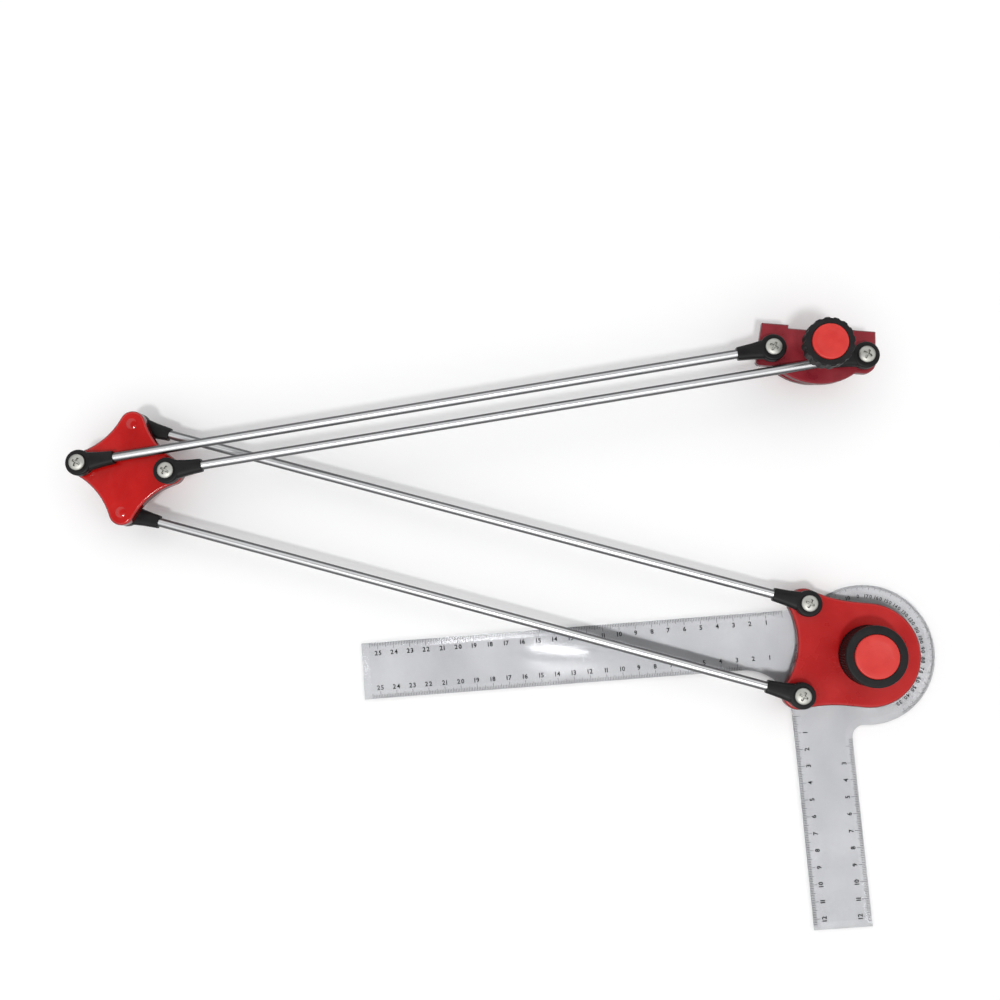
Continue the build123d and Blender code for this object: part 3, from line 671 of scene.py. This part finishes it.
# %% Elbow plate
skin = 2.5
floor_z, top_z = low_of("elbow_plate") / MM, low_of("elbow_top_washers") / MM
roof_z = top_z - skin
shells = [moulded_plate(elbow_outline(), elbow_centre, floor_z, top_z, edge=1.5, wall=2.0, skin=skin)]
shells += [
    turned(softened([(0.2, floor_z), (6.0, floor_z), (6.0, roof_z + 1), (0.2, roof_z + 1)], 0.3), place, 48)
    for place in (elbow_a, elbow_b, elbow_c, elbow_d)
]
shells += [
    rib(elbow_centre, 50.0, 1.8, floor_z + 0.05, roof_z + 1),
    rib(elbow_centre, 1.8, 50.0, floor_z + 0.05, roof_z + 1),
]
bump_reach, bump_rise, bump_sunk = 3.5, 0.63, 0.05
bump_radius = np.linspace(bump_reach, bump_sunk, 14)
bump_height = top_z - bump_sunk + bump_rise * (1 - (bump_radius / bump_reach) ** 2)
bump_profile = np.stack([bump_radius, bump_height], axis=1)
shells += [turned(bump_profile, place, 40) for place in (elbow_c, elbow_d)]
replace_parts(make_piece("elbow_moulding", shells, elbow_red, "elbow"), "elbow_plate")

# %% Head plate
floor_z, top_z = low_of("head_plate") / MM, high_of("head_plate") / MM
roof_z = top_z - skin
shells = [moulded_plate(head_outline(), spindle, floor_z, top_z, edge=1.6, wall=2.2, skin=skin)]
shells += [
    turned(softened([(0.2, floor_z), (size, floor_z), (size, roof_z + 1), (0.2, roof_z + 1)], 0.3), place, 48)
    for place, size in ((head_c, 6.0), (head_d, 6.0), (spindle, 10.0))
]
shells += [
    rib(head_centre, 1.8, 52.0, floor_z + 0.05, roof_z + 1),
    rib(spindle, 60.0, 1.8, floor_z + 0.05, roof_z + 1),
    rib(spindle, 1.8, 60.0, floor_z + 0.05, roof_z + 1),
]
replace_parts(make_piece("head_moulding", shells, head_red, "head"), "head_plate")

# %% [markdown]
# ## Knobs and caps
#
# The head knob is a plain drum with a fine grip round its side, and the clamp knob has sixteen scallops.
# Both are turned profiles. A wave of the angle lowers the drum's radius on the rows of its side, so that
# the rims stay round, and round cutters bite into the other one. A red cap sits in the top of each.

# %% Waves round a knob


def grip(count, depth, power, low, high, outer):
    """Lowers the radius by depth times |cos(count t / 2)|^power between two heights near the outer wall."""

    def relief(radius, height, angle):
        wave = np.abs(np.cos(count * angle / 2)) ** power
        side = (radius > outer - 1.6) * smooth_step(low, low + 0.6, height)
        side = side * (1 - smooth_step(high - 0.6, high, height))
        return radius - depth * wave * side, height

    return relief


def with_more_rows(profile, factor=4):
    """The same profile with its rows divided evenly, so that a relief has points to move."""
    rows = np.linspace(0, len(profile) - 1, factor * len(profile))
    return np.stack([np.interp(rows, np.arange(len(profile)), profile[:, k]) for k in (0, 1)], axis=1)


def capped_disc(centre, radius, low, high, edge, dish):
    """Cap with a rounded rim whose top sinks by dish towards the middle."""
    flat = radius * 0.72
    corners = [(0.2, low), (radius, low), (radius, high), (flat, high - 0.02)]
    rim = softened(corners, (0.1, 0.1, edge, 0.1))
    inner = np.linspace(radius * 0.70, 0.2, 16)
    bowl = np.stack([inner, high - 0.02 - dish * (1 - (inner / flat) ** 2)], axis=1)
    return turned(np.concatenate([rim, bowl]), centre, 112)


# %% Head knob
low_z, top_z = low_of("head_knob") / MM, high_of("head_knob") / MM
cap_low, cap_top = low_of("head_knob_cap") / MM, high_of("head_knob_cap") / MM
drum_radius, drum_inside, hub_radius, hub_bore, seat_radius = 18.3, 16.1, 8.0, 3.1, 13.3
roof_z = low_z + 6.9
drum = softened(
    [
        (hub_radius, low_z + 0.2),
        (hub_radius + 0.1, roof_z),
        (drum_inside, roof_z),
        (drum_inside, low_z),
        (drum_radius, low_z),
        (drum_radius, low_z + 3),
        (drum_radius, top_z - 3),
        (drum_radius, top_z),
        (seat_radius, top_z),
        (seat_radius, cap_low),
        (0.2, cap_low),
    ],
    (0.1, 0.3, 0.4, 0.4, 0.5, 0.2, 0.2, 1.3, 0.3, 0.1, 0.1),
)
drum_wall = grip(72, 0.45, 1.0, low_z + 1.5, top_z - 2.2, drum_radius)
shells = [turned(with_more_rows(drum), spindle, 576, drum_wall)]
hub_top = low_z + 7.2
hub = [(hub_bore, low_z), (hub_radius, low_z), (hub_radius, hub_top), (hub_bore, hub_top)]
shells += [turned(softened(hub, 0.3, closed=True), spindle, 64, ring=True)]
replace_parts(make_piece("head_knob_drum", shells, knob_black, "knob", 40.0), "head_knob")
cap_shell = capped_disc(spindle, seat_radius - 0.2, cap_low + 0.02, cap_top, edge=1.1, dish=0.5)
cap = make_piece("head_knob_button", [cap_shell], cap_red, "knob")
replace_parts(cap, "head_knob_cap")

# %% Clamp knob
low_z, top_z = low_of("clamp_knob") / MM, high_of("clamp_knob") / MM
cap_low, cap_top = low_of("clamp_knob_cap") / MM, high_of("clamp_knob_cap") / MM
wheel_radius, hub_radius, seat_radius = 14.5, 7.0, 10.7
wheel = softened(
    [
        (3.1, low_z),
        (hub_radius, low_z),
        (hub_radius, low_z + 2.0),
        (wheel_radius, low_z + 2.0),
        (wheel_radius, low_z + 4.0),
        (wheel_radius, top_z - 3.0),
        (wheel_radius, top_z),
        (seat_radius, top_z),
        (seat_radius, cap_low),
        (0.2, cap_low),
    ],
    (0.1, 0.4, 0.3, 0.9, 0.1, 0.1, 1.1, 0.3, 0.1, 0.1),
)
scallop_count, cutter_radius, cutter_reach = 16, 2.6, 16.4


def scallops(radius, height, angle):
    """Round cutters of radius k at reach c leave r <= c cos t - sqrt(k^2 - c^2 sin^2 t), tapered inwards."""
    step = 2 * math.pi / scallop_count
    nearest = (angle + step / 2) % step - step / 2
    inside = np.clip(cutter_radius**2 - (cutter_reach * np.sin(nearest)) ** 2, 0.0, None)
    bite = cutter_reach * np.cos(nearest) - np.sqrt(inside)
    limit = np.where(inside > 0, bite, np.inf) - 0.25 * (wheel_radius - radius)
    outer = radius > wheel_radius - cutter_radius
    return np.where(outer, np.minimum(radius, limit), radius), height


shells = [turned(with_more_rows(wheel), clamp_centre, 512, scallops)]
wheel_piece = make_piece("clamp_knob_wheel", shells, knob_black, "clamp_spindle", 40.0)
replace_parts(wheel_piece, "clamp_knob")
cap_shell = capped_disc(clamp_centre, seat_radius - 0.2, cap_low + 0.02, cap_top, edge=1.1, dish=0.5)
cap = make_piece("clamp_knob_button", [cap_shell], cap_red, "clamp_spindle")
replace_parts(cap, "clamp_knob_cap")

# %% [markdown]
# ## Clamp screw
#
# The clamp screw is an M6 thread with a pitch of one millimetre. A thread is one surface of two
# parameters: the radius at angle t and height z depends only on how far the point lies between two turns
# of the helix, which is the fraction of z / pitch - t / 2 pi.

# %% Threaded rod
screw_low, screw_top = low_of("clamp_screw") / MM, high_of("clamp_screw") / MM
thread_radius, thread_depth, hex_height = 3.0, 0.6, 4.0


def thread(radius, height, angle):
    """Radius lowered by the thread's depth along |2f - 1|, f being the fraction of z / pitch - t / 2 pi."""
    phase = (height - angle / (2 * math.pi)) % 1.0
    cut = thread_depth * np.clip(1.25 * np.abs(2 * phase - 1) - 0.12, 0.0, 1.0)
    on_thread = (radius > 2.5) * smooth_step(screw_low + 2.2, screw_low + 3.2, height)
    return radius - cut * on_thread, height


shaft_heights = np.arange(screw_low + 1.75, screw_top - 3.9, 0.1)
shaft = np.stack([np.full(len(shaft_heights), thread_radius), shaft_heights], axis=1)
pin = np.array([(0.2, screw_low), (1.8, screw_low), (1.9, screw_low + 0.1), (1.9, screw_low + 1.7)])
top = np.array([(2.9, screw_top - 3.8), (0.2, screw_top - 3.8)])
shells = [turned(np.concatenate([pin, shaft, top]), clamp_centre, 64, thread)]
hex_low = screw_top - hex_height
hexagon = np.array([(0.2, hex_low), (5.7, hex_low), (5.7, screw_top), (0.2, screw_top)])
shells += [turned(hexagon, clamp_centre, 6)]
thread_piece = make_piece("clamp_screw_thread", shells, screw_steel, "clamp_spindle", 50.0)
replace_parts(thread_piece, "clamp_screw")

# %% [markdown]
# ## Printing on the scale
#
# The graduations are printed on the underside of the clear scale, where they lie against the paper. Each
# line is one thin quad, and all the quads of a ruling are worked out at once from arrays of start and end
# points. The plain figures come from Blender's own font: each digit is made a flat mesh once, then its
# points are copied, turned and moved as arrays.

# %% Lines as quads
scale_turn = math.radians(9.9)
print_z = 0.03 * MM
long_low, long_high = -4.0, 30.5
short_left, short_right = -47.0, -12.5
short_zero = -34.0
long_count, short_count = 256, 124  # millimetre lines on each arm
ring_radius, ring_figure_radius = 41.9, 35.4
figure_height, figure_inset, ring_figure_height = 2.7, 6.6, 2.2
turn_matrix = np.array(
    [[math.cos(scale_turn), -math.sin(scale_turn)], [math.sin(scale_turn), math.cos(scale_turn)]]
)


def on_scale(plan):
    """From millimetres along the scale's own axes to the model's frame."""
    turned_plan = np.asarray(plan) @ turn_matrix.T * MM
    return np.concatenate([turned_plan + spindle, np.full((*turned_plan.shape[:-1], 1), print_z)], axis=-1)


def line_shell(starts, ends, width):
    """A quad for each line: start and end, each moved half a width to both sides."""
    way = ends - starts
    side = np.stack([-way[:, 1], way[:, 0]], axis=1)
    side *= width / 2 / np.linalg.norm(side, axis=1, keepdims=True)
    corners = np.stack([starts - side, ends - side, ends + side, starts + side], axis=1)
    points = on_scale(corners.reshape(-1, 2))
    return points, np.arange(len(points)), np.full(len(starts), 4)


def tick_lengths(number, small, middle, large):
    """Length of each line by its number: every tenth is large and every fifth is middle."""
    return np.where(number % 10 == 0, large, np.where(number % 5 == 0, middle, small))


# %% Straight rulings


def straight_ruling(zero, way, inward, numbers):
    """Millimetre lines that start on an edge and point inwards, numbered from zero along way."""
    lengths = tick_lengths(numbers, 2.2, 3.0, 4.2)[:, None]
    starts = np.asarray(zero) + numbers[:, None] * np.asarray(way) + 0.25 * np.asarray(inward)
    return line_shell(starts, starts + lengths * np.asarray(inward), 0.22)


prints = [
    straight_ruling((short_left, long_high), (-1.0, 0.0), (0.0, -1.0), np.arange(0, long_count)),
    straight_ruling((short_left, long_low), (-1.0, 0.0), (0.0, 1.0), np.arange(28, long_count)),
    straight_ruling((short_left, short_zero), (0.0, -1.0), (1.0, 0.0), np.arange(0, short_count)),
    straight_ruling((short_right, short_zero), (0.0, -1.0), (-1.0, 0.0), np.arange(16, short_count)),
]

# %% Protractor ruling
degrees = np.arange(-62, 128)
lengths = tick_lengths(degrees, 1.4, 2.1, 2.9)
directions = np.stack([np.cos(np.radians(degrees)), np.sin(np.radians(degrees))], axis=1)
prints += [line_shell(directions * ring_radius, directions * (ring_radius - lengths[:, None]), 0.2)]
print("printed lines:", sum(len(sizes) for points, corners, sizes in prints))

# %% Figures


def flat_digit(text):
    """Outline of one digit as points in units of its height, with its faces."""
    curve = bpy.data.curves.new("digit", "FONT")
    curve.body = text
    curve.resolution_u = 2
    curve.offset = 0.02
    writing = bpy.data.objects.new("digit", curve)
    mesh = bpy.data.meshes.new_from_object(writing)
    points = np.empty(len(mesh.vertices) * 3)
    mesh.vertices.foreach_get("co", points)
    corners = np.empty(len(mesh.loops), int)
    mesh.loops.foreach_get("vertex_index", corners)
    sizes = np.empty(len(mesh.polygons), int)
    mesh.polygons.foreach_get("loop_total", sizes)
    bpy.data.objects.remove(writing)
    bpy.data.curves.remove(curve)
    bpy.data.meshes.remove(mesh)
    points = points.reshape(-1, 3)[:, :2]
    width = np.ptp(points[:, 0])
    return (points - (points[:, 0].min(), 0.0)) / 0.69, corners, sizes, width / 0.69


digits = {figure: flat_digit(figure) for figure in "0123456789"}
digit_gap = 0.24  # in units of a digit's height


def figure_shells(number, place, height, angle):
    """Digits side by side, centred on a place and turned by an angle in degrees."""
    parts = [digits[figure] for figure in str(number)]
    widths = [part[3] for part in parts]
    total = sum(widths) + digit_gap * (len(parts) - 1)
    starts = np.cumsum([0] + [width + digit_gap for width in widths[:-1]]) - total / 2
    c, s = math.cos(math.radians(angle)), math.sin(math.radians(angle))
    matrix = np.array([[c, -s], [s, c]])
    return [
        (on_scale((points + (start, -0.5)) @ matrix.T * height + np.asarray(place)), corners, sizes)
        for (points, corners, sizes, width), start in zip(parts, starts)
    ]


long_figures = [
    shell
    for number in range(1, 26)
    for place_y in (long_high - figure_inset, long_low + figure_inset)
    if number > 3 or place_y > 0
    for shell in figure_shells(number, (short_left - 10.0 * number, place_y), figure_height, 0.0)
]
short_figures = [
    shell
    for number in range(1, 13)
    for place_x in (short_left + figure_inset, short_right - figure_inset)
    if number > 2 or place_x < -30
    for shell in figure_shells(number, (place_x, short_zero - 10.0 * number), figure_height, 90.0)
]
ring_angles = np.arange(-60, 130, 10)
ring_places = ring_figure_radius * directions[ring_angles - degrees[0]]
ring_figures = [
    shell
    for angle, place in zip(ring_angles, ring_places)
    for shell in figure_shells((angle + 90) % 180, place, ring_figure_height, angle - 90.0)
]
prints += long_figures + short_figures + ring_figures
make_piece("scale_print", prints, scale_ink, "scale")

# %% [markdown]
# ## Floor, light and camera
#
# The drafter lies on a pale table. The room is a soft bright ring with a darker ceiling and horizon, so
# that chrome shows dark and light bands and the flat red plates keep their colour. A sun from the near
# side draws the thin shadows of the rods, and a small lamp overhead puts the glare on the scale. The
# table is a little lighter to the camera than to other rays, so that it lights the plates no more.

# %% Floor
floor_points = np.array([(-4.0, -4.0), (4.0, -4.0), (4.0, 4.0), (-4.0, 4.0)])
floor_mesh = bpy.data.meshes.new("table_top")
floor_mesh.from_pydata([(x, y, -0.3 * MM) for x, y in floor_points.tolist()], [], [(0, 1, 2, 3)])
table_top = bpy.data.objects.new("table_top", floor_mesh)
bpy.context.scene.collection.objects.link(table_top)
paper_white = finish("pale_table", [(0.90, 0.90, 0.905), (0.93, 0.93, 0.93)], (0.8, 0.9), (4.0, 1.0))
nodes, links = paper_white.node_tree.nodes, paper_white.node_tree.links
rays = nodes.new("ShaderNodeLightPath")
lighter = nodes.new("ShaderNodeMix")
lighter.data_type = "RGBA"
lighter.inputs[7].default_value = (1.0, 1.0, 1.0, 1.0)
links.new(rays.outputs["Is Camera Ray"], lighter.inputs[0])
links.new(nodes["Principled BSDF"].inputs["Base Color"].links[0].from_socket, lighter.inputs[6])
links.new(lighter.outputs[2], nodes["Principled BSDF"].inputs["Base Color"])
floor_mesh.materials.append(paper_white)

# %% Room
world = bpy.data.worlds.new("soft_room")
bpy.context.scene.world = world
world.use_nodes = True
nodes, links = world.node_tree.nodes, world.node_tree.links
background = nodes["Background"]
direction = nodes.new("ShaderNodeTexCoord")
parts = nodes.new("ShaderNodeSeparateXYZ")
bands = nodes.new("ShaderNodeValToRGB")
bands.color_ramp.elements[0].position = 0.22
bands.color_ramp.elements[0].color = (0.30, 0.30, 0.31, 1.0)
bands.color_ramp.elements[1].position = 0.40
bands.color_ramp.elements[1].color = (1.05, 1.05, 1.05, 1.0)
for position, level in ((0.84, 1.05), (0.92, 0.22)):
    stop = bands.color_ramp.elements.new(position)
    stop.color = (level, level, level, 1.0)
seen = nodes.new("ShaderNodeLightPath")
choice = nodes.new("ShaderNodeMix")
choice.data_type = "RGBA"
choice.inputs[7].default_value = (0.92, 0.92, 0.93, 1.0)
links.new(direction.outputs["Generated"], parts.inputs[0])
links.new(parts.outputs["Z"], bands.inputs["Fac"])
links.new(bands.outputs["Color"], choice.inputs[6])
links.new(seen.outputs["Is Camera Ray"], choice.inputs[0])
links.new(choice.outputs[2], background.inputs["Color"])

# %% Lamps
sun = bpy.data.lights.new("window_light", "SUN")
sun.energy = 0.85
sun.angle = math.radians(7.0)
sun_lamp = bpy.data.objects.new("window_light", sun)
sun_lamp.rotation_euler = (math.radians(20.0), 0.0, 0.0)
bpy.context.scene.collection.objects.link(sun_lamp)
glare = bpy.data.lights.new("overhead_lamp", "AREA")
glare.shape = "ELLIPSE"
glare.size, glare.size_y = 0.15, 0.02
glare.energy = 0.11
glare_lamp = bpy.data.objects.new("overhead_lamp", glare)
glare_lamp.location = (-0.159, -0.113, 2.0)
bpy.context.scene.collection.objects.link(glare_lamp)

# %% Camera
camera_data = bpy.data.cameras.new("camera")
camera_data.angle = math.radians(49.66)
camera_data.clip_start = 0.01
camera = bpy.data.objects.new("camera", camera_data)
camera.location = (-0.19504, 0.01807, 0.67406)
camera.rotation_euler = (math.radians(5.02), math.radians(2.52), math.radians(5.34))
bpy.context.scene.collection.objects.link(camera)
bpy.context.scene.camera = camera
bpy.context.scene.view_settings.view_transform = "Standard"
